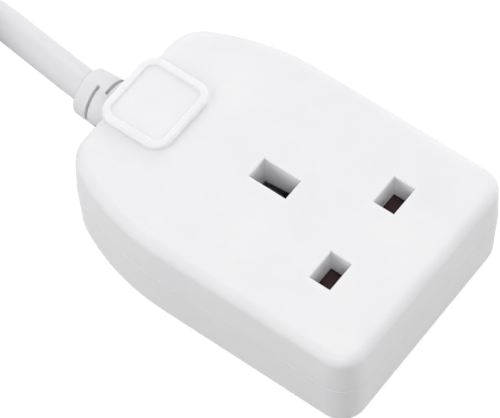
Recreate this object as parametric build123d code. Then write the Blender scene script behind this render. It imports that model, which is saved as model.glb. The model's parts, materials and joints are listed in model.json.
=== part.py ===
from build123d import *
import math
import os

os.makedirs("parts", exist_ok=True)

# One-gang trailing socket with its flex, tied in a hank, and moulded plug.
# Millimetres. +Z up, +Y towards the flex, +X to the line pin side.
# The origin is the middle of the housing's footprint, on the surface it stands on.

# Housing
case_width = 57.5
case_length = 78.7
case_height = 25.6
split_height = 14.4
case_wall = 2.2
floor_thickness = 2.0
draft_angle = 2.3
front_corner_radius = 6.4
rear_corner_radius = 9.1
shoulder_length = 30.1
shoulder_radius = 55.0
top_edge_radius = 2.5
bottom_edge_radius = 2.6
split_chamfer = 0.2
lip_height = 1.2
lip_gap = 0.1
face_gap = 0.05
over_cut = 1.0

# Raised tile on the face, above the flex
badge_width = 19.4
badge_length = 17.4
badge_rise = 1.1
badge_overhang = 0.75
badge_skirt = 2.4
badge_corner_radius = 4.0
badge_rim = 1.9
badge_recess = 0.45
badge_edge_radius = 0.6
badge_field_edge = 0.3

# Apertures of a three-pin socket
pin_row_spacing = 22.23
pin_spacing = 22.23
earth_pin_offset = -0.1
earth_aperture_width = 5.36
earth_aperture_length = 9.35
live_aperture_width = 7.53
live_aperture_length = 5.16
aperture_wall = 1.3
aperture_depth = 7.0
earth_skirt_depth = 2.3
aperture_edge_chamfer = 0.25

# Shutter
shutter_depth = 7.5
shutter_thickness = 1.6
shutter_travel = 5.8
shutter_overlap = 0.6
shutter_web_width = 8.0
shutter_ramp_width = 6.8
shutter_ramp_drop = 5.6
shutter_ramp_lip = 0.8
shutter_gap = 0.3
rail_wall = 1.2
peg_radius = 1.2
peg_length = 3.0
wall_peg_length = 2.0

# Return spring
spring_radius = 1.9
spring_wire = 0.5
spring_turns = 7
spring_wire_sides = 6

# Pins of the matching plug
live_pin_width = 6.35
live_pin_thickness = 4.0
live_pin_length = 17.7
earth_pin_width = 8.0
earth_pin_thickness = 4.0
earth_pin_length = 22.73
pin_tip_chamfer = 0.9

# Contacts and terminals
leaf_thickness = 0.6
leaf_squeeze = 0.1
leaf_side_gap = 0.4
leaf_flare = 0.7
leaf_flare_height = 2.0
contact_floor_gap = 0.1
pocket_wall = 1.2
pocket_gap = 0.35
earth_pocket_height = 11.2
terminal_width = 6.2
terminal_length = 7.0
terminal_height = 9.0
terminal_bore_height = 5.4
terminal_bore_radius = 1.5
terminal_reach = 4.6
terminal_screw_radius = 1.5
terminal_screw_head_radius = 2.1
terminal_screw_head = 1.6
screw_slot_width = 0.6
screw_slot_depth = 0.7

# Flex
flex_diameter = 7.5
core_diameter = 2.3
core_spread = 2.0
sheath_inner_length = 11.0
core_gap = 0.4
core_out_share = 0.15
core_cross_share = 0.42
core_line_share = 0.63
core_out_step = 1.0
core_cross_inset = 1.5
core_cross_rise = 1.5
core_line_rise = 0.2
clamp_length = 4.6
clamp_width = 23.0
clamp_arm_thickness = 2.4
clamp_arch_wall = 1.8
clamp_edge_chamfer = 0.8
clamp_gap = 0.2
clamp_screw_spacing = 16.4
clamp_screw_radius = 1.4
clamp_screw_head_radius = 2.5
clamp_screw_head = 1.7
clamp_screw_length = 9.0
fit_gap = 0.1

# Moulded strain relief at the housing
relief_root_radius = 6.2
relief_tip_radius = 5.55
relief_length = 11.0
relief_neck_radius = 5.1
relief_flange_radius = 6.9
relief_flange_thickness = 1.6
relief_tip_edge = 0.7
relief_slot_width = 0.8
relief_slot_depth = 1.35
relief_slot_pitch = 2.5
relief_slot_tip_offset = 3.95
relief_slot_span = 98.0
relief_slot_first_angle = -55.0
relief_slot_step_angle = 90.0
relief_slot_count = 3

# Case screws, driven from below
case_screw_front_side = 7.3
case_screw_front_inset = 7.6
case_screw_rear_side = 10.7
case_screw_rear_inset = 14.0
case_screw_radius = 1.4
case_screw_head_radius = 2.75
case_screw_head = 1.9
case_screw_length = 14.0
case_screw_recess = 2.2
boss_radius = 4.1
boss_height = 9.0
pillar_radius = 3.4
cross_width = 0.7
cross_length = 3.2
cross_depth = 1.0

# Route of the flex from the strain relief to the hank
lead_points = [
    (0.3, 50.45, 14.4),
    (2.7, 68.0, 13.4),
    (5.9, 81.4, 9.6),
    (7.7, 92.0, 5.8),
    (8.6, 103.0, 4.75),
    (8.8, 116.4, 4.6),
]

# Hank of the rest of the flex, in line with the housing
hank_center_x = -21.3
hank_near_y = 116.4
hank_straight = 82.0
hank_turns = 5
hank_inner_turn = 22.5
hank_turn_pitch = 7.6
hank_columns = 2
hank_layers = 3
hank_edge_chamfer = 2.0

# Tie round one side of the hank
tie_width = 6.0
tie_thickness = 0.75
tie_gap = 0.05
tie_corner_radius = 2.8
tie_tail_length = 9.0
tie_y = 152.0

# Route of the flex from the hank to the plug
tail_points = [
    (1.2, 112.4, 19.8),
    (1.1, 123.4, 19.8),
    (0.6, 133.8, 23.3),
    (-0.4, 142.5, 30.1),
    (-1.4, 152.9, 33.7),
    (-1.7, 163.9, 33.9),
]
plug_turn = 181.5

# Plug, lying on the hank with the pins up
plug_width = 48.0
plug_front_width = 38.0
plug_length = 50.0
plug_depth = 24.0
plug_draft = 5.0
plug_rear_corner = 9.0
plug_front_corner = 12.0
plug_back_edge = 3.5
plug_face_edge = 0.6
plug_row_inset = 16.0
plug_grip_radius = 26.0
plug_grip_depth = 2.2
plug_relief_length = 20.0
plug_relief_root = 6.6
plug_relief_tip = 4.9
plug_relief_slots = 4
plug_relief_slot_pitch = 4.2
plug_relief_slot_width = 1.2
plug_relief_slot_depth = 1.1
sleeve_length = 9.0
sleeve_wall = 0.5
pin_root = 9.0
carrier_width = 10.0
carrier_length = 29.0
carrier_offset = 1.5
carrier_thickness = 2.4
carrier_slot_length = 6.0
carrier_slot_width = 1.6
carrier_slot_depth = 0.9
fuse_length = 25.4
fuse_radius = 3.15
fuse_cap_length = 5.6
fuse_cap_wall = 0.35

# Places worked out from the sizes above
total_length = case_length + badge_overhang
front_y = -total_length / 2
rear_y = front_y + case_length
flex_radius = flex_diameter / 2
flex_axis_z = split_height
earth_y = earth_pin_offset
live_y = earth_y - pin_row_spacing
live_x = pin_spacing / 2
roof_z = case_height - case_wall
aperture_bottom_z = case_height - aperture_depth
shutter_top_z = case_height - shutter_depth
shutter_bottom_z = shutter_top_z - shutter_thickness
pocket_top_z = shutter_bottom_z - shutter_gap
hank_outer_turn = hank_inner_turn + hank_turn_pitch * (hank_columns - 1)
hank_low_z = tie_thickness + tie_gap
hank_high_z = hank_low_z + hank_turn_pitch * hank_layers
hank_far_y = hank_near_y + hank_straight
case_screw_front_x = case_width / 2 - case_screw_front_side
case_screw_rear_x = case_width / 2 - case_screw_rear_side
case_screw_places = [
    (-case_screw_front_x, front_y + case_screw_front_inset),
    (case_screw_front_x, front_y + case_screw_front_inset),
    (-case_screw_rear_x, rear_y - case_screw_rear_inset),
    (case_screw_rear_x, rear_y - case_screw_rear_inset),
]


def block(x_range, y_range, z_range):
    """A box from its limits on each axis."""
    size = [high - low for low, high in (x_range, y_range, z_range)]
    middle = [(high + low) / 2 for low, high in (x_range, y_range, z_range)]
    return Pos(*middle) * Box(*size)


def around(middle, width):
    """The limits of a width centred on a value."""
    return (middle - width / 2, middle + width / 2)


def rod(radius, z_low, z_high, x=0.0, y=0.0):
    """An upright cylinder."""
    return Pos(x, y, (z_low + z_high) / 2) * Cylinder(radius, z_high - z_low)


def rod_y(radius, y_low, y_high, x=0.0, z=0.0, tip_radius=None):
    """A cylinder or cone along +Y."""
    length = y_high - y_low
    place = Pos(x, (y_low + y_high) / 2, z) * Rot(-90, 0, 0)
    if tip_radius is None:
        return place * Cylinder(radius, length)
    return place * Cone(radius, tip_radius, length)


def case_outline(inset=0.0):
    """Plan of the housing at the split, or a plan set in from it."""
    half = case_width / 2
    shoulder_y = rear_y - shoulder_length
    arc_x = half - shoulder_radius
    rear_x = arc_x + math.sqrt(shoulder_radius**2 - shoulder_length**2)
    mid_angle = math.asin(shoulder_length / shoulder_radius) / 2
    mid_x = arc_x + shoulder_radius * math.cos(mid_angle)
    mid_y = shoulder_y + shoulder_radius * math.sin(mid_angle)
    edges = [
        Line((-half, front_y), (half, front_y)),
        Line((half, front_y), (half, shoulder_y)),
        ThreePointArc((half, shoulder_y), (mid_x, mid_y), (rear_x, rear_y)),
        Line((rear_x, rear_y), (-rear_x, rear_y)),
        ThreePointArc((-rear_x, rear_y), (-mid_x, mid_y), (-half, shoulder_y)),
        Line((-half, shoulder_y), (-half, front_y)),
    ]
    plan = make_face(Wire(edges))
    corners = plan.vertices()
    plan = fillet(corners.group_by(Axis.Y)[-1], rear_corner_radius)
    plan = fillet(plan.vertices().group_by(Axis.Y)[0], front_corner_radius)
    if inset:
        plan = offset(plan, -inset)
    return plan


def shell_half(height, edge_radius, wall_end, downwards):
    """One drafted half of the housing, hollow towards the split."""
    way = (0, 0, -1) if downwards else (0, 0, 1)
    outer = extrude(Pos(0, 0, split_height) * case_outline(), height, dir=way, taper=draft_angle)
    end_face = outer.faces().sort_by(Axis.Z)[0 if downwards else -1]
    split_face = outer.faces().sort_by(Axis.Z)[-1 if downwards else 0]
    outer = chamfer(split_face.edges(), split_chamfer)
    end_face = outer.faces().sort_by(Axis.Z)[0 if downwards else -1]
    outer = fillet(end_face.edges(), edge_radius)
    hollow = extrude(
        Pos(0, 0, split_height) * case_outline(case_wall),
        height - wall_end,
        dir=way,
        taper=draft_angle,
    )
    return outer - hollow


def flex_passage():
    """The round way for the strain relief's neck and flange through the rear wall."""
    neck = rod_y(relief_neck_radius + fit_gap, rear_y - 2 * case_wall, rear_y + case_wall, z=flex_axis_z)
    flange_y = rear_y - case_wall
    flange = rod_y(
        relief_flange_radius + shutter_gap,
        flange_y - relief_flange_thickness - 2 * fit_gap,
        flange_y,
        z=flex_axis_z,
    )
    return neck + flange


def badge():
    """The raised tile with its plain recessed field and rounded rim."""
    middle_y = rear_y + badge_overhang - badge_length / 2
    low_z = case_height - badge_skirt
    tile = extrude(
        Pos(0, middle_y, low_z) * RectangleRounded(badge_width, badge_length, badge_corner_radius),
        badge_skirt + badge_rise,
    )
    tile = fillet(tile.faces().sort_by(Axis.Z)[-1].edges(), badge_edge_radius)
    field = extrude(
        Pos(0, middle_y, case_height + badge_rise - badge_recess)
        * RectangleRounded(
            badge_width - 2 * badge_rim,
            badge_length - 2 * badge_rim,
            badge_corner_radius - badge_rim,
        ),
        badge_rise,
    )
    tile -= field
    return chamfer(tile.faces().sort_by(Axis.Z)[-1].inner_wires()[0].edges(), badge_field_edge)


def aperture(x, y, width, length):
    """The tool that opens one pin hole through face and chimney."""
    hole = block(
        around(x, width),
        around(y, length),
        (aperture_bottom_z - face_gap, case_height + face_gap),
    )
    flare = Pos(x, y, case_height - aperture_edge_chamfer) * extrude(
        Rectangle(width, length), 2 * aperture_edge_chamfer, taper=-45
    )
    return hole + flare


def earth_skirt():
    """The earth hole's wall below its neighbours', deeper towards the flex."""
    half_length = earth_aperture_length / 2 + aperture_wall
    profile = Polyline(
        (0, earth_y - half_length, aperture_bottom_z + face_gap),
        (0, earth_y + half_length, aperture_bottom_z + face_gap),
        (0, earth_y + half_length, aperture_bottom_z - earth_skirt_depth),
        (0, earth_y - half_length, aperture_bottom_z),
        close=True,
    )
    half_width = earth_aperture_width / 2
    wall = extrude(make_face(profile), half_width + aperture_wall, both=True, dir=(1, 0, 0))
    return wall - block(
        (-half_width, half_width),
        around(earth_y, earth_aperture_length),
        (aperture_bottom_z - 2 * earth_skirt_depth, aperture_bottom_z + over_cut),
    )


def chimney(x, y, width, length):
    """The wall that hangs below the face round one pin hole."""
    return block(
        around(x, width + 2 * aperture_wall),
        around(y, length + 2 * aperture_wall),
        (aperture_bottom_z, roof_z + face_gap),
    )


pin_holes = [
    (0.0, earth_y, earth_aperture_width, earth_aperture_length),
    (live_x, live_y, live_aperture_width, live_aperture_length),
    (-live_x, live_y, live_aperture_width, live_aperture_length),
]
bar_low_y = live_y - live_aperture_length / 2 - shutter_overlap
bar_high_y = live_y + live_aperture_length / 2 + shutter_overlap
rail_low_y = bar_high_y + shutter_gap
rail_high_y = earth_y - earth_aperture_length / 2 - aperture_wall
shutter_mid_z = (shutter_top_z + shutter_bottom_z) / 2


def make_cover():
    """Upper half of the housing with apertures, pillars, rails and badge."""
    body = shell_half(case_height - split_height, top_edge_radius, case_wall, downwards=False)
    rebate = extrude(
        Pos(0, 0, split_height - face_gap) * case_outline(case_wall / 2),
        lip_height + face_gap + 2 * lip_gap,
    )
    body -= rebate
    body += badge()
    for hole in pin_holes:
        body += chimney(*hole)
    body += earth_skirt()
    pillar_low = boss_height + face_gap
    for x, y in case_screw_places:
        body += rod(pillar_radius, pillar_low, roof_z + face_gap, x, y)
    rail_x = shutter_web_width / 2 + shutter_gap
    for side in (-1, 1):
        rail_range = sorted((side * rail_x, side * (rail_x + rail_wall)))
        body += block(rail_range, (rail_low_y, rail_high_y), (shutter_bottom_z, roof_z + face_gap))
    inner_front_y = front_y + case_wall
    body += rod_y(peg_radius, inner_front_y - face_gap, inner_front_y + wall_peg_length, z=shutter_mid_z)
    for hole in pin_holes:
        body -= aperture(*hole)
    pilot_top = boss_height + case_screw_length - fit_gap
    for x, y in case_screw_places:
        body -= rod(case_screw_radius + fit_gap, pillar_low - face_gap, pilot_top, x, y)
    return body - flex_passage()


def pocket(x, y, width, length, top):
    """The four ribs that hold one contact upright."""
    outer = block(
        around(x, width + 2 * pocket_wall),
        around(y, length + 2 * pocket_wall),
        (floor_thickness - face_gap, top),
    )
    inner = block(around(x, width), around(y, length), (floor_thickness, top + face_gap))
    return outer - inner


live_clip_width = live_pin_width + leaf_side_gap
live_clip_depth = live_pin_thickness - leaf_squeeze + 2 * leaf_thickness + 2 * leaf_flare
earth_clip_width = earth_pin_thickness - leaf_squeeze + 2 * leaf_thickness + 2 * leaf_flare
earth_clip_depth = earth_pin_width
live_pocket = (live_clip_width + 2 * pocket_gap, live_clip_depth + 2 * pocket_gap)
earth_pocket = (earth_clip_width + 2 * pocket_gap, earth_clip_depth + 2 * pocket_gap)
live_terminal_y = live_y + live_pocket[1] / 2 + pocket_wall + terminal_reach
earth_terminal_y = earth_y + earth_pocket[1] / 2 + pocket_wall + terminal_reach
strap_width = terminal_width - 2 * pocket_gap
contact_low_z = floor_thickness + contact_floor_gap
strap_slot_top = contact_low_z + leaf_thickness + contact_floor_gap
clamp_y = rear_y - case_wall - relief_flange_thickness - sheath_inner_length / 2
clamp_y_range = around(clamp_y, clamp_length)
saddle_top_z = flex_axis_z + 0.4
bar_low_z = saddle_top_z + clamp_gap
arm_high_z = bar_low_z + clamp_arm_thickness
arch_half_width = flex_radius + clamp_arch_wall


def strap_slot(x, y_low, y_high):
    """Opening at the foot of a pocket rib for the contact's strap."""
    return block(
        around(x, strap_width + 2 * pocket_gap),
        (y_low, y_high),
        (floor_thickness, strap_slot_top),
    )


def make_base():
    """Lower half of the housing with bosses, contact pockets and cord saddle."""
    body = shell_half(split_height, bottom_edge_radius, floor_thickness, downwards=True)
    lip = extrude(
        Pos(0, 0, split_height - face_gap)
        * (case_outline(case_wall / 2 + lip_gap) - case_outline(case_wall)),
        lip_height + face_gap,
    )
    body += lip
    for x, y in case_screw_places:
        body += rod(boss_radius, floor_thickness - face_gap, boss_height, x, y)
    for side in (-1, 1):
        body += pocket(side * live_x, live_y, *live_pocket, pocket_top_z)
    body += pocket(0.0, earth_y, *earth_pocket, earth_pocket_height)
    for side in (-1, 1):
        slot_low = live_y + live_pocket[1] / 2 - face_gap
        body -= strap_slot(side * live_x, slot_low, slot_low + pocket_wall + 2 * face_gap)
    slot_low = earth_y + earth_pocket[1] / 2 - face_gap
    body -= strap_slot(0.0, slot_low, slot_low + pocket_wall + 2 * face_gap)
    body += block(around(0, clamp_width), clamp_y_range, (floor_thickness - face_gap, saddle_top_z))
    body -= rod_y(flex_radius + face_gap, clamp_y - clamp_length, clamp_y + clamp_length, z=flex_axis_z)
    for side in (-1, 1):
        hole_x = side * clamp_screw_spacing / 2
        hole_low = arm_high_z - clamp_screw_length - fit_gap
        body -= rod(clamp_screw_radius + fit_gap, hole_low, saddle_top_z + face_gap, hole_x, clamp_y)
    head_seat = case_screw_recess + case_screw_head
    for x, y in case_screw_places:
        body -= rod(case_screw_head_radius + fit_gap, -face_gap, head_seat, x, y)
        body -= rod(case_screw_radius + fit_gap, 0, boss_height + face_gap, x, y)
    return body - flex_passage()


def make_shutter():
    """Sliding shutter: two blades, a web and the ramp under the earth hole."""
    blade_half = live_x + live_aperture_width / 2 + shutter_overlap
    z_range = (shutter_bottom_z, shutter_top_z)
    body = block((-blade_half, blade_half), (bar_low_y, bar_high_y), z_range)
    ramp_top_y = earth_y - earth_aperture_length / 2
    ramp_end_y = earth_y - earth_pin_width / 2 + shutter_travel - fit_gap
    body += block(around(0, shutter_web_width), (bar_high_y - face_gap, ramp_top_y), z_range)
    ramp_low_z = shutter_top_z - shutter_ramp_drop
    back_run = (ramp_end_y - ramp_top_y) * shutter_thickness / shutter_ramp_drop
    profile = Polyline(
        (0, ramp_top_y, shutter_top_z),
        (0, ramp_end_y, ramp_low_z),
        (0, ramp_end_y, ramp_low_z - shutter_ramp_lip),
        (0, ramp_end_y - back_run, ramp_low_z - shutter_ramp_lip),
        (0, ramp_top_y - back_run, shutter_bottom_z),
        (0, ramp_top_y - 2 * back_run, shutter_bottom_z),
        (0, ramp_top_y - 2 * back_run, shutter_top_z),
        close=True,
    )
    ramp = extrude(make_face(profile), shutter_ramp_width / 2, both=True, dir=(1, 0, 0))
    body += ramp
    body += rod_y(peg_radius, bar_low_y - peg_length, bar_low_y + face_gap, z=shutter_mid_z)
    return body


def make_spring():
    """Compression spring between the shutter and the front wall."""
    free_end = front_y + case_wall + shutter_gap
    length = bar_low_y - fit_gap - free_end
    coil_height = length - spring_wire
    path = Helix(coil_height / spring_turns, coil_height, spring_radius)
    section = Plane(path @ 0, z_dir=path % 0) * RegularPolygon(spring_wire / 2, spring_wire_sides)
    wire = sweep(section, path=path, is_frenet=True)
    return Pos(0, free_end + spring_wire / 2, shutter_mid_z) * Rot(-90, 0, 0) * wire


def contact(clip_top, clip_width, gap, terminal_y, clip_y, leaves_along_x):
    """A U-shaped sprung clip, its strap and its terminal block, at x = 0."""
    low = contact_low_z
    half_gap = gap / 2
    bend_z = clip_top - leaf_flare_height
    leaf = Polyline(
        (half_gap, low + leaf_thickness),
        (half_gap, bend_z),
        (half_gap + leaf_flare, clip_top),
        (half_gap + leaf_flare + leaf_thickness, clip_top),
        (half_gap + leaf_thickness, bend_z),
        (half_gap + leaf_thickness, low),
        (-half_gap - leaf_thickness, low),
        (-half_gap - leaf_thickness, bend_z),
        (-half_gap - leaf_flare - leaf_thickness, clip_top),
        (-half_gap - leaf_flare, clip_top),
        (-half_gap, bend_z),
        (-half_gap, low + leaf_thickness),
        close=True,
    )
    plane = Plane.XZ if leaves_along_x else Plane.YZ
    clip = extrude(plane * make_face(leaf), clip_width / 2, both=True)
    clip = Pos(0, clip_y, 0) * clip
    half_depth = clip_width / 2 if leaves_along_x else half_gap + leaf_thickness
    strap = block(
        around(0, strap_width),
        (clip_y + half_depth - leaf_thickness, terminal_y),
        (low, low + leaf_thickness),
    )
    box = block(around(0, terminal_width), around(terminal_y, terminal_length), (low, low + terminal_height))
    bore_z = low + terminal_bore_height
    box -= rod_y(terminal_bore_radius, terminal_y - terminal_length, terminal_y + terminal_length, z=bore_z)
    box -= rod(terminal_screw_radius + fit_gap, bore_z, low + terminal_height + face_gap, 0, terminal_y)
    return clip + strap + box


def slotted_screw(radius, head_radius, head_height, length):
    """A screw pointing down, with its head's underside at z = 0."""
    body = rod(radius, -length, 0) + rod(head_radius, 0, head_height)
    body -= block(
        around(0, 3 * head_radius),
        around(0, screw_slot_width),
        (head_height - screw_slot_depth, head_height + face_gap),
    )
    return body


def cross_screw(radius, head_radius, head_height, length):
    """A screw pointing up, with its head's upper side at z = 0."""
    body = rod(radius, 0, length) + rod(head_radius, -head_height, 0)
    body = chamfer(body.faces().sort_by(Axis.Z)[0].edges(), head_height / 3)
    for size in ((cross_length, cross_width), (cross_width, cross_length)):
        body -= block(
            around(0, size[0]),
            around(0, size[1]),
            (-head_height - face_gap, -head_height + cross_depth),
        )
    return body


def make_clamp():
    """The stepped bar that holds the flex down on its saddle."""
    bar = block(around(0, clamp_width), clamp_y_range, (bar_low_z, arm_high_z))
    arch = block(
        around(0, 2 * arch_half_width),
        clamp_y_range,
        (bar_low_z, flex_axis_z + arch_half_width),
    )
    bar += chamfer(arch.edges().filter_by(Axis.Y).group_by(Axis.Z)[-1], clamp_edge_chamfer)
    bar -= rod_y(flex_radius + face_gap, clamp_y - clamp_length, clamp_y + clamp_length, z=flex_axis_z)
    for side in (-1, 1):
        hole_x = side * clamp_screw_spacing / 2
        hole_range = (bar_low_z - over_cut, arm_high_z + over_cut)
        bar -= rod(clamp_screw_radius + fit_gap, *hole_range, hole_x, clamp_y)
    return bar


def ring_slots(y, root_radius, width, depth, angle, flex_z):
    """Two opposite windows of a ring, cut into a strain relief round its flex."""
    outer = rod_y(root_radius + depth, *around(y, width), z=flex_z)
    inner = rod_y(root_radius - depth, *around(y, 2 * width), z=flex_z)
    reach = 2 * root_radius
    half_span = math.radians(relief_slot_span / 2)
    side_x = reach * math.sin(half_span)
    side_z = reach * math.cos(half_span)
    corners = Polyline((0, 0, 0), (-side_x, 0, side_z), (0, 0, reach), (side_x, 0, side_z), close=True)
    wedge = extrude(make_face(corners), width, both=True, dir=(0, 1, 0))
    place = Pos(0, y, flex_z)
    windows = place * Rot(0, angle, 0) * wedge + place * Rot(0, angle + 180, 0) * wedge
    return (outer - inner) & windows


def make_strain_relief():
    """Short round grommet with staggered slots, a neck and an inner flange."""
    root_y = rear_y + fit_gap
    tip_y = rear_y + relief_length
    body = rod_y(relief_root_radius, root_y, tip_y, z=flex_axis_z, tip_radius=relief_tip_radius)
    body = fillet(body.edges().group_by(Axis.Y)[-1], relief_tip_edge)
    body += rod_y(relief_neck_radius, rear_y - case_wall - fit_gap, root_y + face_gap, z=flex_axis_z)
    flange_high = rear_y - case_wall - fit_gap
    body += rod_y(
        relief_flange_radius,
        flange_high - relief_flange_thickness,
        flange_high,
        z=flex_axis_z,
    )
    for index in range(relief_slot_count):
        slot_y = tip_y - relief_slot_tip_offset - index * relief_slot_pitch
        angle = relief_slot_first_angle + index * relief_slot_step_angle
        radius = relief_tip_radius + (relief_root_radius - relief_tip_radius) * (
            (tip_y - slot_y) / relief_length
        )
        body -= ring_slots(slot_y, radius, relief_slot_width, relief_slot_depth, angle, flex_axis_z)
    body -= rod_y(
        flex_radius + face_gap,
        flange_high - 2 * relief_flange_thickness,
        tip_y + over_cut,
        z=flex_axis_z,
    )
    return body


def route_wire(name, points):
    """Straight runs joined by tangent arcs, each as large as its runs allow."""
    spots = [Vector(*point) for point in points]
    runs = [after - before for before, after in zip(spots, spots[1:])]
    radii = []
    for before, after in zip(runs, runs[1:]):
        half_turn = math.radians(before.get_angle(after)) / 2
        radii.append(0.45 * min(before.length, after.length) / math.tan(half_turn))
    print(name, "radii", [round(radius, 1) for radius in radii])
    return FilletPolyline(*spots, radius=radii)


def tube(name, points, diameter):
    """A round cable along a route."""
    path = route_wire(name, points)
    section = Plane(path @ 0, z_dir=path % 0) * Circle(diameter / 2)
    solid = sweep(section, path=path)
    expected = math.pi * diameter**2 / 4 * path.length
    print(name, "length", round(path.length, 1), "volume ratio", round(solid.volume / expected, 4))
    return solid


def racetrack(radius, z_low, z_high):
    """A solid slot with round ends, along the hank."""
    middle_y = (hank_near_y + hank_far_y) / 2
    slot = SlotCenterToCenter(hank_straight, 2 * radius)
    plan = Pos(hank_center_x, middle_y, z_low) * Rot(0, 0, 90) * slot
    return extrude(plan, z_high - z_low)


def make_hank():
    """The outer shape of the hank: one closed racetrack ring."""
    ring = racetrack(hank_outer_turn + flex_radius, hank_low_z, hank_high_z)
    ring -= racetrack(hank_inner_turn - flex_radius, hank_low_z - over_cut, hank_high_z + over_cut)
    ends = ring.faces().sort_by(Axis.Z)
    edges = ends[0].edges() + ends[-1].edges()
    return chamfer(edges, hank_edge_chamfer)


def make_tie():
    """A strap round one side of the hank, with its short free tail."""
    inner_x = hank_center_x - hank_inner_turn + flex_radius + tie_gap
    outer_x = hank_center_x - hank_outer_turn - flex_radius - tie_gap
    width = inner_x - outer_x
    height = hank_high_z - hank_low_z + 2 * tie_gap
    place = Pos((inner_x + outer_x) / 2, tie_y, (hank_low_z + hank_high_z) / 2) * Rot(90, 0, 0)
    outline = RectangleRounded(
        width + 2 * tie_thickness, height + 2 * tie_thickness, tie_corner_radius
    )
    hole = RectangleRounded(width, height, tie_corner_radius - tie_thickness)
    strap = extrude(place * (outline - hole), tie_width / 2, both=True)
    tail_low = hank_high_z + tie_gap + tie_thickness - face_gap
    strap += block(
        (outer_x + tie_corner_radius, outer_x + tie_corner_radius + tie_tail_length),
        around(tie_y, tie_width),
        (tail_low, tail_low + tie_thickness),
    )
    return strap


plug_back_z = hank_high_z + face_gap
plug_origin = Pos(*tail_points[-1][:2], plug_back_z) * Rot(0, 0, plug_turn)
plug_flex_z = tail_points[-1][2] - plug_back_z
plug_rear_y = -plug_relief_length
plug_row_y = plug_rear_y - plug_row_inset
plug_earth_y = plug_row_y - pin_row_spacing


def plug_outline():
    """Plan of the plug's face, wide at the flex end."""
    rear = plug_width / 2
    front = plug_front_width / 2
    front_edge = plug_rear_y - plug_length
    plan = make_face(
        Polyline(
            (-rear, plug_rear_y),
            (rear, plug_rear_y),
            (rear, plug_row_y),
            (front, front_edge),
            (-front, front_edge),
            (-rear, plug_row_y),
            close=True,
        )
    )
    ordered = plan.vertices().group_by(Axis.Y)
    plan = fillet(ordered[0], plug_front_corner)
    plan = fillet(plan.vertices().group_by(Axis.Y)[-1], plug_rear_corner)
    return plan


def pin_block(x, y, width, length, z_low, z_high, tip):
    """One flat plug pin, chamfered at the tip."""
    body = block(around(x, width), around(y, length), (z_low, z_high))
    if tip:
        body = chamfer(body.faces().sort_by(Axis.Z)[-1].edges(), pin_tip_chamfer)
    return body


carrier_y = plug_row_y - carrier_offset
pin_root_z = plug_depth - pin_root
fuse_z = plug_depth - carrier_thickness - fuse_radius - fit_gap


def make_plug_body():
    """The moulded plug with its pin slots, fuse bay and side grips."""
    face = Pos(0, 0, plug_depth) * plug_outline()
    body = extrude(face, plug_depth, dir=(0, 0, -1), taper=plug_draft)
    body = fillet(body.faces().sort_by(Axis.Z)[0].edges(), plug_back_edge)
    body = chamfer(body.faces().sort_by(Axis.Z)[-1].edges(), plug_face_edge)
    for side in (-1, 1):
        grip_x = side * (plug_width / 2 + plug_grip_radius - plug_grip_depth)
        grip_y = plug_row_y - plug_row_inset / 2
        body -= rod(plug_grip_radius, plug_depth / 6, 4 * plug_depth / 5, grip_x, grip_y)
    for side in (-1, 1):
        body -= pin_block(
            side * live_x,
            plug_row_y,
            live_pin_width,
            live_pin_thickness,
            pin_root_z,
            plug_depth + over_cut,
            False,
        )
    body -= pin_block(
        0, plug_earth_y, earth_pin_thickness, earth_pin_width, pin_root_z, plug_depth + over_cut, False
    )
    bay_width = carrier_width + 2 * fit_gap
    bay_length = carrier_length + 2 * fit_gap
    bay_low = fuse_z - fuse_radius - fit_gap
    body -= block(around(0, bay_width), around(carrier_y, bay_length), (bay_low, plug_depth + over_cut))
    return body


def make_live_pin(side):
    """A line or neutral pin, waisted where the sleeve sits."""
    tip_z = plug_depth + live_pin_length
    sleeve_top = plug_depth + sleeve_length
    body = pin_block(
        side * live_x, plug_row_y, live_pin_width, live_pin_thickness, sleeve_top, tip_z, True
    )
    body += block(
        around(side * live_x, live_pin_width - 2 * sleeve_wall),
        around(plug_row_y, live_pin_thickness - 2 * sleeve_wall),
        (pin_root_z, sleeve_top),
    )
    return body


def make_sleeve(side):
    """Insulating sleeve on the root of a line or neutral pin."""
    z_range = (pin_root_z, plug_depth + sleeve_length)
    body = block(
        around(side * live_x, live_pin_width), around(plug_row_y, live_pin_thickness), z_range
    )
    body -= block(
        around(side * live_x, live_pin_width - 2 * sleeve_wall),
        around(plug_row_y, live_pin_thickness - 2 * sleeve_wall),
        (z_range[0] - over_cut, z_range[1] + over_cut),
    )
    return body


def make_fuse_carrier():
    """The lift-out lid of the fuse bay, with its two fuse clips."""
    lid = block(
        around(0, carrier_width),
        around(carrier_y, carrier_length),
        (plug_depth - carrier_thickness, plug_depth),
    )
    lid = fillet(lid.edges().filter_by(Axis.Z), 1.0)
    lid -= block(
        around(0, carrier_slot_length),
        around(carrier_y - carrier_length / 3, carrier_slot_width),
        (plug_depth - carrier_slot_depth, plug_depth + over_cut),
    )
    leg_x = fuse_radius + fit_gap
    for side in (-1, 1):
        leg = sorted((side * leg_x, side * carrier_width / 2))
        lid += block(
            leg,
            around(carrier_y, carrier_length / 3),
            (fuse_z - fuse_radius, plug_depth - carrier_thickness + face_gap),
        )
    return lid


def make_fuse():
    """Cartridge fuse: ceramic barrel between two metal caps."""
    low = carrier_y - fuse_length / 2
    high = carrier_y + fuse_length / 2
    barrel = rod_y(
        fuse_radius - fuse_cap_wall, low + fuse_cap_length, high - fuse_cap_length, z=fuse_z
    )
    caps = [
        rod_y(fuse_radius, low, low + fuse_cap_length, z=fuse_z),
        rod_y(fuse_radius, high - fuse_cap_length, high, z=fuse_z),
    ]
    return barrel, caps


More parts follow.
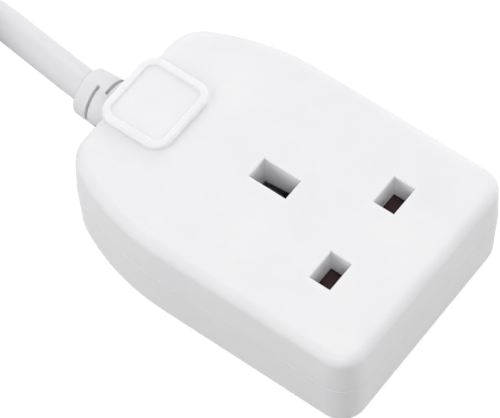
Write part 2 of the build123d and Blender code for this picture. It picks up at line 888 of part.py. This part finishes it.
def make_plug_relief():
    """Tapered slotted strain relief of the plug."""
    high = -fit_gap
    body = rod_y(
        plug_relief_root, plug_rear_y, high, z=plug_flex_z, tip_radius=plug_relief_tip
    )
    for index in range(plug_relief_slots):
        slot_y = high - plug_relief_slot_pitch * (index + 0.6)
        radius = plug_relief_tip + (plug_relief_root - plug_relief_tip) * (
            (high - slot_y) / plug_relief_length
        )
        angle = relief_slot_first_angle + index * relief_slot_step_angle
        body -= ring_slots(
            slot_y, radius, plug_relief_slot_width, plug_relief_slot_depth, angle, plug_flex_z
        )
    return body


def core(name, side):
    """One insulated core from the sheath's end to its terminal."""
    start_y = clamp_y - sheath_inner_length / 2 - core_gap
    bore_z = contact_low_z + terminal_bore_height
    if side == 0:
        end_y = earth_terminal_y + terminal_length / 2 + face_gap
        start_z = flex_axis_z - core_spread
        points = [
            (0, start_y, start_z),
            (0, start_y - (start_y - end_y) / 4, start_z),
            (0, end_y + (start_y - end_y) / 4, bore_z),
            (0, end_y, bore_z),
        ]
    else:
        end_y = live_terminal_y + terminal_length / 2 + face_gap
        span = start_y - end_y
        points = [
            (side * core_spread, start_y, flex_axis_z + core_spread / 2),
            (side * (core_spread + core_out_step), start_y - core_out_share * span, flex_axis_z),
            (
                side * (live_x - core_cross_inset),
                start_y - core_cross_share * span,
                bore_z + core_cross_rise,
            ),
            (side * live_x, start_y - core_line_share * span, bore_z + core_line_rise),
            (side * live_x, end_y, bore_z),
        ]
    return tube(name, points, core_diameter)


def save(name, solid, color):
    solid.label = name
    solid.color = Color(color)
    export_step(solid, f"parts/{name}.step")


white = 0xF2F2F4
brass = 0xC9A659
steel = 0xB8BCC0

save("cover", make_cover(), white)
save("base", make_base(), white)
save("shutter", make_shutter(), 0x4A2A2A)
save("shutter_spring", make_spring(), steel)

live_contact = contact(
    pocket_top_z - shutter_gap,
    live_clip_width,
    live_pin_thickness - leaf_squeeze,
    live_terminal_y,
    live_y,
    leaves_along_x=False,
)
earth_contact = contact(
    earth_pocket_height - shutter_gap,
    earth_clip_depth,
    earth_pin_thickness - leaf_squeeze,
    earth_terminal_y,
    earth_y,
    leaves_along_x=True,
)
save("line_contact", Pos(live_x, 0, 0) * live_contact, brass)
save("neutral_contact", Pos(-live_x, 0, 0) * live_contact, brass)
save("earth_contact", earth_contact, brass)

terminal_top = contact_low_z + terminal_height
terminal_screw = slotted_screw(
    terminal_screw_radius, terminal_screw_head_radius, terminal_screw_head, terminal_height / 3
)
screw_lift = terminal_top + face_gap
save("line_terminal_screw", Pos(live_x, live_terminal_y, screw_lift) * terminal_screw, steel)
save("neutral_terminal_screw", Pos(-live_x, live_terminal_y, screw_lift) * terminal_screw, steel)
save("earth_terminal_screw", Pos(0, earth_terminal_y, screw_lift) * terminal_screw, steel)

save("cord_clamp", make_clamp(), white)
clamp_screw = slotted_screw(
    clamp_screw_radius, clamp_screw_head_radius, clamp_screw_head, clamp_screw_length
)
for side, word in ((-1, "left"), (1, "right")):
    place = Pos(side * clamp_screw_spacing / 2, clamp_y, arm_high_z + face_gap)
    save(f"clamp_screw_{word}", place * clamp_screw, steel)

case_screw = cross_screw(case_screw_radius, case_screw_head_radius, case_screw_head, case_screw_length)
screw_seat = case_screw_recess + case_screw_head - face_gap
for number, (x, y) in enumerate(case_screw_places, start=1):
    save(f"case_screw_{number}", Pos(x, y, screw_seat) * case_screw, steel)

save("line_core", core("line core", 1), 0x6B3A1E)
save("neutral_core", core("neutral core", -1), 0x2A5CA8)
save("earth_core", core("earth core", 0), 0x5FA03A)

sheath_low = clamp_y - sheath_inner_length / 2
sheath = rod_y(flex_radius, sheath_low, rear_y + relief_length, z=flex_axis_z)
save("cord_sheath", sheath, white)
save("strain_relief", make_strain_relief(), white)
save("cord_lead", tube("lead", lead_points, flex_diameter), white)
save("cord_hank", make_hank(), white)
save("flex_tie", make_tie(), 0x202022)
save("cord_tail", tube("tail", tail_points, flex_diameter), white)

save("plug_body", plug_origin * make_plug_body(), white)
save("plug_relief", plug_origin * make_plug_relief(), white)
save("plug_line_pin", plug_origin * make_live_pin(-1), brass)
save("plug_neutral_pin", plug_origin * make_live_pin(1), brass)
save("plug_line_sleeve", plug_origin * make_sleeve(-1), 0x1A1A1A)
save("plug_neutral_sleeve", plug_origin * make_sleeve(1), 0x1A1A1A)
earth_pin = pin_block(
    0,
    plug_earth_y,
    earth_pin_thickness,
    earth_pin_width,
    pin_root_z,
    plug_depth + earth_pin_length,
    True,
)
save("plug_earth_pin", plug_origin * earth_pin, brass)
save("fuse_carrier", plug_origin * make_fuse_carrier(), 0xD8D8DA)
fuse_barrel, fuse_caps = make_fuse()
save("fuse_barrel", plug_origin * fuse_barrel, 0xE8E2D4)
for word, cap in zip(("front", "rear"), fuse_caps):
    save(f"fuse_cap_{word}", plug_origin * cap, steel)

loop = 2 * hank_straight + math.pi * (hank_inner_turn + hank_outer_turn)
print("hank length about", round(loop * hank_turns, 1))
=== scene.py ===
import bpy
import bmesh
import json
import math
from mathutils import Matrix, Vector


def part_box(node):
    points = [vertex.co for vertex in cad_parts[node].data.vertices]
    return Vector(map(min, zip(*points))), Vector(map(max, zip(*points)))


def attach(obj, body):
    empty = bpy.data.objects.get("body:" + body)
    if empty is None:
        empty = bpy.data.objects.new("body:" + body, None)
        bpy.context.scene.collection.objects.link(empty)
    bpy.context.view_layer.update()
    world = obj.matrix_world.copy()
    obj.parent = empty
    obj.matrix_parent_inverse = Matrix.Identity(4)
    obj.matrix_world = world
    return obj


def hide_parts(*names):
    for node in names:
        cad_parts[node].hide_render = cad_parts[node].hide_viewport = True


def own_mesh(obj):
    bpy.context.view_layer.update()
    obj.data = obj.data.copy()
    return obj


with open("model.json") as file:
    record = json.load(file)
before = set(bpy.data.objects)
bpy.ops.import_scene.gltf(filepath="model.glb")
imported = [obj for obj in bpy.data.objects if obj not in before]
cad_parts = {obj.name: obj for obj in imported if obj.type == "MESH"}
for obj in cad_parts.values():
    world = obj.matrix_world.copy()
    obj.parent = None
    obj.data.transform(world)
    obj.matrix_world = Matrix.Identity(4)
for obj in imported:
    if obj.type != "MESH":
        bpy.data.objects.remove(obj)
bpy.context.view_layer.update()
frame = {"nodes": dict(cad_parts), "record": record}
MM = 0.001

# Camera: the photograph's viewpoint, close enough for its slight perspective
CAMERA_PLACE = Vector((-0.27018, -0.20927, 0.56339))
CAMERA_AZIMUTH = math.radians(-51.35)
CAMERA_ELEVATION = math.radians(58.13)
CAMERA_ROLL = math.radians(-2.20)
CAMERA_LENS = 222.66
CAMERA_NEAR_CLIP = 0.01
SENSOR_WIDTH = 36.0

# Flex: control points in millimetres, and how finely the curve is drawn
FLEX_DIAMETER = 7.5 * MM
FLEX_CURVE_ORDER = 3
FLEX_CURVE_STEPS = 6
FLEX_BEVEL_STEPS = 8
LEAD_POINTS = [
    (0.0, 46.0, 14.4),
    (0.3, 50.45, 14.4),
    (2.7, 68.0, 13.4),
    (5.9, 81.4, 9.6),
    (7.7, 92.0, 5.8),
    (8.6, 103.0, 4.75),
]
TAIL_POINTS = [
    (1.1, 123.4, 19.8),
    (0.6, 133.8, 23.3),
    (-0.4, 142.5, 30.1),
    (-1.4, 152.9, 33.7),
    (-1.7, 163.9, 33.9),
    (-1.7, 167.9, 33.9),
]

# Hank: a racetrack in millimetres. A slot is a column and a layer of its section.
# Each turn starts in one slot and ends in the next, between two shares of its length.
HANK_CENTER_X = -21.3
HANK_NEAR_Y = 116.4
HANK_STRAIGHT = 82.0
HANK_INNER_TURN = 22.5
HANK_TURN_PITCH = 7.6
HANK_LOW_Z = 4.6
HANK_POINTS_PER_TURN = 36
HANK_TURNS = 5
HANK_SLOTS = [(1, 0), (0, 0), (0, 1), (1, 1), (1, 2), (0, 2)]
HANK_STEPS = [(0.8, 1.0), (0.6, 0.8), (0.4, 0.6), (0.2, 0.4), (0.0, 0.2)]

# Return spring of the shutter
SPRING_WIRE = 0.5 * MM
SPRING_TURNS = 7.0
SPRING_STEPS_PER_TURN = 32
SPRING_SIDES = 12

# Textures: detail and roughness of each noise, and where its two colours stand
CLOUD_NOISE = (4.0, 0.6)
GRAIN_NOISE = (2.0, 0.5)
METAL_NOISE = (3.0, 0.6)
COLOR_STOPS = (0.3, 0.7)
GRAIN_STRENGTH = 0.5
FINE_GRAIN = 0.02 * MM
GRAIN = 0.03 * MM
COARSE_GRAIN = 0.05 * MM

# Plastics: two colours, the range of roughness, and the scale and depth of the grain
PLASTICS = {
    "housing_white": ((0.80, 0.80, 0.815), (0.835, 0.835, 0.845), (0.36, 0.44), 4500.0, GRAIN),
    "shutter_maroon": ((0.045, 0.017, 0.017), (0.065, 0.026, 0.025), (0.5, 0.6), 3000.0, GRAIN),
    "clamp_plastic": ((0.70, 0.70, 0.68), (0.78, 0.78, 0.76), (0.4, 0.5), 3000.0, GRAIN),
    "core_brown": ((0.12, 0.045, 0.02), (0.16, 0.06, 0.03), (0.35, 0.45), 2500.0, FINE_GRAIN),
    "core_blue": ((0.02, 0.09, 0.36), (0.03, 0.12, 0.44), (0.35, 0.45), 2500.0, FINE_GRAIN),
    "relief_white": ((0.74, 0.74, 0.755), (0.785, 0.785, 0.80), (0.42, 0.52), 3500.0, GRAIN),
    "flex_white": ((0.72, 0.72, 0.745), (0.765, 0.765, 0.79), (0.40, 0.48), 2500.0, FINE_GRAIN),
    "plug_white": ((0.78, 0.78, 0.80), (0.82, 0.82, 0.835), (0.34, 0.42), 4000.0, GRAIN),
    "tie_black": ((0.018, 0.018, 0.02), (0.03, 0.03, 0.032), (0.55, 0.7), 2500.0, COARSE_GRAIN),
    "sleeve_black": ((0.012, 0.012, 0.013), (0.02, 0.02, 0.021), (0.4, 0.5), 2500.0, FINE_GRAIN),
    "carrier_grey": ((0.55, 0.55, 0.56), (0.62, 0.62, 0.63), (0.38, 0.46), 3000.0, GRAIN),
    "fuse_ceramic": ((0.74, 0.71, 0.62), (0.82, 0.79, 0.70), (0.55, 0.65), 1800.0, GRAIN),
}
CLOUD_SCALE = 60.0
CLOUD_SCALES = {"flex_white": 90.0}
SUBSURFACE_WEIGHTS = {"housing_white": 0.6}
SUBSURFACE_RADIUS = (1.0, 0.98, 0.95)
SUBSURFACE_SCALE = 1.2 * MM

# Metals: two colours, the range of roughness, and the scale of the grain
METALS = {
    "steel": ((0.50, 0.51, 0.52), (0.66, 0.67, 0.68), (0.25, 0.4), 900.0),
    "brass": ((0.60, 0.44, 0.19), (0.74, 0.57, 0.28), (0.22, 0.35), 700.0),
    "pin_brass": ((0.68, 0.53, 0.27), (0.80, 0.66, 0.38), (0.16, 0.28), 500.0),
    "fuse_metal": ((0.60, 0.59, 0.56), (0.74, 0.73, 0.70), (0.25, 0.35), 900.0),
}

# Striped insulation of the earth core
STRIPE_GREEN = (0.03, 0.22, 0.04)
STRIPE_YELLOW = (0.75, 0.62, 0.03)
STRIPE_SCALE = 220.0
STRIPE_STOPS = (0.48, 0.52)
STRIPE_ROUGHNESS = 0.4

# Floor and world
FLOOR_HALF_SIZE = 4.0
FLOOR_DROP = 0.2 * MM
FLOOR_GREY = (0.30, 0.30, 0.30, 1)
FLOOR_GLOW = 0.80
WHITE = (1, 1, 1, 1)
WORLD_LIGHT = 0.61
WORLD_SEEN = 1.0

# Lamps: place, target, size, power in watts, and whether their reflection is seen
ORIGIN = (0, 0, 0)
LAMPS = {
    "key": ((0.48, 0.46, 0.74), ORIGIN, 0.35, 0.8, True),
    "rim": ((0.80, 0.34, 0.24), (0, 0.08, 0), 0.35, 2.6, False),
    "fill_left": ((-0.62, 0.54, 0.34), ORIGIN, 0.45, 2.5, False),
    "fill_right": ((0.60, -0.62, 0.36), ORIGIN, 0.45, 1.9, False),
    "fill_front": ((-0.44, -0.39, 0.70), ORIGIN, 0.3, 1.6, True),
}


def make_camera():
    """The camera stands at the photograph's viewpoint."""
    data = bpy.data.cameras.new("camera")
    data.lens = CAMERA_LENS
    data.sensor_width = SENSOR_WIDTH
    data.sensor_fit = "HORIZONTAL"
    data.clip_start = CAMERA_NEAR_CLIP
    camera = bpy.data.objects.new("camera", data)
    bpy.context.scene.collection.objects.link(camera)
    flat = math.cos(CAMERA_ELEVATION)
    back = Vector(
        (
            math.sin(CAMERA_AZIMUTH) * flat,
            -math.cos(CAMERA_AZIMUTH) * flat,
            math.sin(CAMERA_ELEVATION),
        )
    )
    level = Vector((0, 0, 1)).cross(back).normalized()
    upright = back.cross(level)
    right = level * math.cos(CAMERA_ROLL) + upright * math.sin(CAMERA_ROLL)
    up = back.cross(right)
    turn = Matrix((right, up, back)).transposed()
    camera.matrix_world = Matrix.Translation(CAMERA_PLACE) @ turn.to_4x4()
    bpy.context.scene.camera = camera


def hank_place(turn, share):
    """Column and layer of the flex after that share of a turn, with smooth steps."""
    now = HANK_SLOTS[turn]
    if turn == HANK_TURNS:
        return now
    low, high = HANK_STEPS[turn]
    way = min(max((share - low) / (high - low), 0.0), 1.0)
    way = way * way * (3 - 2 * way)
    return [start + (end - start) * way for start, end in zip(now, HANK_SLOTS[turn + 1])]


def hank_point(share, radius):
    """A point of a racetrack at that share of its length, from its right side, towards +Y."""
    bend = math.pi * radius
    length = 2 * HANK_STRAIGHT + 2 * bend
    run = (share % 1.0) * length
    far_y = HANK_NEAR_Y + HANK_STRAIGHT
    if run < HANK_STRAIGHT:
        return HANK_CENTER_X + radius, HANK_NEAR_Y + run
    run -= HANK_STRAIGHT
    if run < bend:
        angle = run / radius
        return HANK_CENTER_X + radius * math.cos(angle), far_y + radius * math.sin(angle)
    run -= bend
    if run < HANK_STRAIGHT:
        return HANK_CENTER_X - radius, far_y - run
    angle = math.pi + (run - HANK_STRAIGHT) / radius
    return HANK_CENTER_X + radius * math.cos(angle), HANK_NEAR_Y + radius * math.sin(angle)


def hank_points():
    """Control points of the hank's turns, from the lead's side to the tail's."""
    points = []
    for step in range(HANK_TURNS * HANK_POINTS_PER_TURN + 1):
        turn, step_in_turn = divmod(step, HANK_POINTS_PER_TURN)
        share = step_in_turn / HANK_POINTS_PER_TURN
        column, layer = hank_place(turn, share)
        x, y = hank_point(share, HANK_INNER_TURN + HANK_TURN_PITCH * column)
        points.append((x, y, HANK_LOW_Z + HANK_TURN_PITCH * layer))
    return points


def make_flex():
    """The whole flex as one smooth curve: lead, hank and tail."""
    points = LEAD_POINTS + hank_points() + TAIL_POINTS
    data = bpy.data.curves.new("flex", "CURVE")
    data.dimensions = "3D"
    data.bevel_depth = FLEX_DIAMETER / 2
    data.bevel_resolution = FLEX_BEVEL_STEPS
    data.use_fill_caps = True
    data.resolution_u = FLEX_CURVE_STEPS
    spline = data.splines.new("NURBS")
    spline.points.add(len(points) - 1)
    for spot, (x, y, z) in zip(spline.points, points):
        spot.co = (x * MM, y * MM, z * MM, 1.0)
    spline.order_u = FLEX_CURVE_ORDER
    spline.use_endpoint_u = True
    piece = bpy.data.objects.new("flex", data)
    bpy.context.scene.collection.objects.link(piece)
    return piece


make_camera()
flex = make_flex()


# Materials

def new_material(name):
    """An empty node material with its shader."""
    material = bpy.data.materials.new(name)
    material.use_nodes = True
    shader = material.node_tree.nodes["Principled BSDF"]
    return material, material.node_tree, shader


def add(tree, kind, **values):
    """A node with its properties set."""
    node = tree.nodes.new(kind)
    for name, value in values.items():
        setattr(node, name, value)
    return node


def noise(tree, scale, detail, rough):
    """Noise on the piece's own coordinates, in cycles per metre."""
    coords = add(tree, "ShaderNodeTexCoord")
    texture = add(tree, "ShaderNodeTexNoise")
    texture.inputs["Scale"].default_value = scale
    texture.inputs["Detail"].default_value = detail
    texture.inputs["Roughness"].default_value = rough
    tree.links.new(coords.outputs["Object"], texture.inputs["Vector"])
    return texture


def ramp(tree, source, low, high, stops):
    """Colours between two values of a texture."""
    node = add(tree, "ShaderNodeValToRGB")
    for element, stop, color in zip(node.color_ramp.elements, stops, (low, high)):
        element.position = stop
        element.color = (*color, 1)
    tree.links.new(source, node.inputs["Fac"])
    return node


def spread(tree, source, low, high):
    """A value between two limits, following a texture."""
    node = add(tree, "ShaderNodeMapRange")
    node.inputs["To Min"].default_value = low
    node.inputs["To Max"].default_value = high
    tree.links.new(source, node.inputs["Value"])
    return node


def plastic(name, low, high, roughness, grain_scale, grain_depth):
    """Moulded plastic: faint clouding, a fine eroded grain and uneven gloss."""
    material, tree, shader = new_material(name)
    cloud = noise(tree, CLOUD_SCALES.get(name, CLOUD_SCALE), *CLOUD_NOISE)
    color = ramp(tree, cloud.outputs["Fac"], low, high, COLOR_STOPS)
    tree.links.new(color.outputs["Color"], shader.inputs["Base Color"])
    gloss = spread(tree, cloud.outputs["Fac"], *roughness)
    tree.links.new(gloss.outputs["Result"], shader.inputs["Roughness"])
    grain = noise(tree, grain_scale, *GRAIN_NOISE)
    bump = add(tree, "ShaderNodeBump")
    bump.inputs["Strength"].default_value = GRAIN_STRENGTH
    bump.inputs["Distance"].default_value = grain_depth
    tree.links.new(grain.outputs["Fac"], bump.inputs["Height"])
    tree.links.new(bump.outputs["Normal"], shader.inputs["Normal"])
    if name in SUBSURFACE_WEIGHTS:
        shader.inputs["Subsurface Weight"].default_value = SUBSURFACE_WEIGHTS[name]
        shader.inputs["Subsurface Radius"].default_value = SUBSURFACE_RADIUS
        shader.inputs["Subsurface Scale"].default_value = SUBSURFACE_SCALE
    return material


def metal(name, low, high, roughness, grain_scale):
    """Metal with a brushed or drawn grain."""
    material, tree, shader = new_material(name)
    shader.inputs["Metallic"].default_value = 1.0
    grain = noise(tree, grain_scale, *METAL_NOISE)
    color = ramp(tree, grain.outputs["Fac"], low, high, COLOR_STOPS)
    tree.links.new(color.outputs["Color"], shader.inputs["Base Color"])
    gloss = spread(tree, grain.outputs["Fac"], *roughness)
    tree.links.new(gloss.outputs["Result"], shader.inputs["Roughness"])
    return material


def core_insulation():
    """Green insulation with yellow stripes."""
    material, tree, shader = new_material("core_green_yellow")
    wave = add(tree, "ShaderNodeTexWave", wave_type="BANDS", bands_direction="X")
    wave.inputs["Scale"].default_value = STRIPE_SCALE
    coords = add(tree, "ShaderNodeTexCoord")
    tree.links.new(coords.outputs["Object"], wave.inputs["Vector"])
    color = ramp(tree, wave.outputs["Fac"], STRIPE_GREEN, STRIPE_YELLOW, STRIPE_STOPS)
    tree.links.new(color.outputs["Color"], shader.inputs["Base Color"])
    shader.inputs["Roughness"].default_value = STRIPE_ROUGHNESS
    return material


MATERIALS = {name: plastic(name, *look) for name, look in PLASTICS.items()}
MATERIALS.update({name: metal(name, *look) for name, look in METALS.items()})
MATERIALS["core_green_yellow"] = core_insulation()
NODE_SLOTS = {part["node"]: part["material_slot"] for part in frame["record"]["subparts"]}


def dress(piece, slot):
    """Gives a piece one material."""
    piece.data.materials.clear()
    piece.data.materials.append(MATERIALS[slot])


for node, cad in frame["nodes"].items():
    dress(cad, NODE_SLOTS[node])


# Return spring of the shutter, as Geometry Nodes

def spring_group():
    """A round wire wound along Z, from named inputs."""
    group = bpy.data.node_groups.new("return_spring", "GeometryNodeTree")
    sockets = {}
    for name, kind in (
        ("Wire Radius", "NodeSocketFloat"),
        ("Mean Radius", "NodeSocketFloat"),
        ("Length", "NodeSocketFloat"),
        ("Turns", "NodeSocketFloat"),
        ("Material", "NodeSocketMaterial"),
    ):
        socket = group.interface.new_socket(name=name, in_out="INPUT", socket_type=kind)
        sockets[name] = socket.identifier
    group.interface.new_socket(name="Geometry", in_out="OUTPUT", socket_type="NodeSocketGeometry")
    source = add(group, "NodeGroupInput")
    spiral = add(group, "GeometryNodeCurveSpiral")
    spiral.inputs["Resolution"].default_value = SPRING_STEPS_PER_TURN
    section = add(group, "GeometryNodeCurvePrimitiveCircle")
    section.inputs["Resolution"].default_value = SPRING_SIDES
    wind = add(group, "GeometryNodeCurveToMesh")
    wind.inputs["Fill Caps"].default_value = True
    smooth = add(group, "GeometryNodeSetShadeSmooth")
    real = add(group, "GeometryNodeRealizeInstances")
    paint = add(group, "GeometryNodeSetMaterial")
    out = add(group, "NodeGroupOutput")
    link = group.links.new
    link(source.outputs["Mean Radius"], spiral.inputs["Start Radius"])
    link(source.outputs["Mean Radius"], spiral.inputs["End Radius"])
    link(source.outputs["Length"], spiral.inputs["Height"])
    link(source.outputs["Turns"], spiral.inputs["Rotations"])
    link(source.outputs["Wire Radius"], section.inputs["Radius"])
    link(spiral.outputs["Curve"], wind.inputs["Curve"])
    link(section.outputs["Curve"], wind.inputs["Profile Curve"])
    link(wind.outputs["Mesh"], smooth.inputs["Geometry"])
    link(smooth.outputs["Geometry"], real.inputs["Geometry"])
    link(real.outputs["Geometry"], paint.inputs["Geometry"])
    link(source.outputs["Material"], paint.inputs["Material"])
    link(paint.outputs["Geometry"], out.inputs["Geometry"])
    return group, sockets


def make_spring():
    """Winds the spring in its CAD node's box, along Y."""
    low, high = (Vector(corner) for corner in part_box("shutter_spring"))
    group, sockets = spring_group()
    carrier = bpy.data.objects.new("carrier", bpy.data.meshes.new("carrier"))
    bpy.context.scene.collection.objects.link(carrier)
    wire = SPRING_WIRE / 2
    modifier = carrier.modifiers.new("return_spring", "NODES")
    modifier.node_group = group
    modifier[sockets["Wire Radius"]] = wire
    modifier[sockets["Mean Radius"]] = (high.x - low.x) / 2 - wire
    modifier[sockets["Length"]] = high.y - low.y - 2 * wire
    modifier[sockets["Turns"]] = SPRING_TURNS
    modifier[sockets["Material"]] = MATERIALS["steel"]
    graph = bpy.context.evaluated_depsgraph_get()
    mesh = bpy.data.meshes.new_from_object(carrier.evaluated_get(graph))
    bpy.data.objects.remove(carrier)
    middle = (low + high) / 2
    place = Matrix.Translation((middle.x, low.y + wire, middle.z))
    mesh.transform(place @ Matrix.Rotation(math.radians(-90), 4, "X"))
    mesh.name = "return_spring"
    piece = bpy.data.objects.new("return_spring", mesh)
    bpy.context.scene.collection.objects.link(piece)
    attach(piece, "housing")
    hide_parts("shutter_spring")
    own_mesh(piece)


make_spring()


# Flex: its material and its body, in place of the CAD cord

dress(flex, "flex_white")
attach(flex, "housing")
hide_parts("cord_lead", "cord_hank", "cord_tail")


# Floor, lamps and world

def ray_of_kind(tree, *kinds):
    """One where a ray is of any of these kinds, and zero elsewhere."""
    path = add(tree, "ShaderNodeLightPath")
    found = path.outputs[kinds[0]]
    for kind in kinds[1:]:
        either = add(tree, "ShaderNodeMath", operation="MAXIMUM")
        tree.links.new(found, either.inputs[0])
        tree.links.new(path.outputs[kind], either.inputs[1])
        found = either.outputs[0]
    return found


def floor_material():
    """Pale with a soft shadow, white where it is seen, and clear from below."""
    material, tree, shader = new_material("floor")
    tree.nodes.remove(shader)
    diffuse = add(tree, "ShaderNodeBsdfDiffuse")
    diffuse.inputs["Color"].default_value = FLOOR_GREY
    glow = add(tree, "ShaderNodeEmission")
    glow.inputs["Color"].default_value = WHITE
    lift = add(tree, "ShaderNodeMath", operation="MULTIPLY")
    lift.inputs[1].default_value = FLOOR_GLOW
    seen = ray_of_kind(tree, "Is Camera Ray", "Is Glossy Ray", "Is Transmission Ray")
    tree.links.new(seen, lift.inputs[0])
    tree.links.new(lift.outputs[0], glow.inputs["Strength"])
    both = add(tree, "ShaderNodeAddShader")
    tree.links.new(diffuse.outputs[0], both.inputs[0])
    tree.links.new(glow.outputs[0], both.inputs[1])
    clear = add(tree, "ShaderNodeBsdfTransparent")
    facing = add(tree, "ShaderNodeNewGeometry")
    sided = add(tree, "ShaderNodeMixShader")
    tree.links.new(facing.outputs["Backfacing"], sided.inputs["Fac"])
    tree.links.new(both.outputs[0], sided.inputs[1])
    tree.links.new(clear.outputs[0], sided.inputs[2])
    tree.links.new(sided.outputs[0], tree.nodes["Material Output"].inputs["Surface"])
    return material


def make_floor():
    """A flat floor just under the lowest piece."""
    bm = bmesh.new()
    bmesh.ops.create_grid(bm, x_segments=1, y_segments=1, size=FLOOR_HALF_SIZE)
    mesh = bpy.data.meshes.new("floor")
    bm.to_mesh(mesh)
    bm.free()
    floor = bpy.data.objects.new("floor", mesh)
    floor.location.z = -FLOOR_DROP
    bpy.context.scene.collection.objects.link(floor)
    mesh.materials.append(floor_material())


def make_world():
    """White for the camera, also through clear surfaces, and a dimmer even light elsewhere."""
    world = bpy.data.worlds.new("studio")
    bpy.context.scene.world = world
    world.use_nodes = True
    tree = world.node_tree
    ground = tree.nodes["Background"]
    ground.inputs["Color"].default_value = WHITE
    seen = ray_of_kind(tree, "Is Camera Ray", "Is Transmission Ray")
    strength = spread(tree, seen, WORLD_LIGHT, WORLD_SEEN)
    tree.links.new(strength.outputs["Result"], ground.inputs["Strength"])


def make_lamp(name, place, target, size, power, glossy):
    """A square soft lamp turned to a target, with or without its reflection."""
    data = bpy.data.lights.new(name, "AREA")
    data.shape = "SQUARE"
    data.size = size
    data.energy = power
    piece = bpy.data.objects.new(name, data)
    piece.location = place
    piece.visible_glossy = glossy
    way = Vector(target) - Vector(place)
    piece.rotation_euler = way.to_track_quat("-Z", "Y").to_euler()
    bpy.context.scene.collection.objects.link(piece)


make_floor()
make_world()
for lamp_name, lamp in LAMPS.items():
    make_lamp(lamp_name, *lamp)
bpy.context.scene.view_settings.view_transform = "Standard"

bpy.context.view_layer.update()
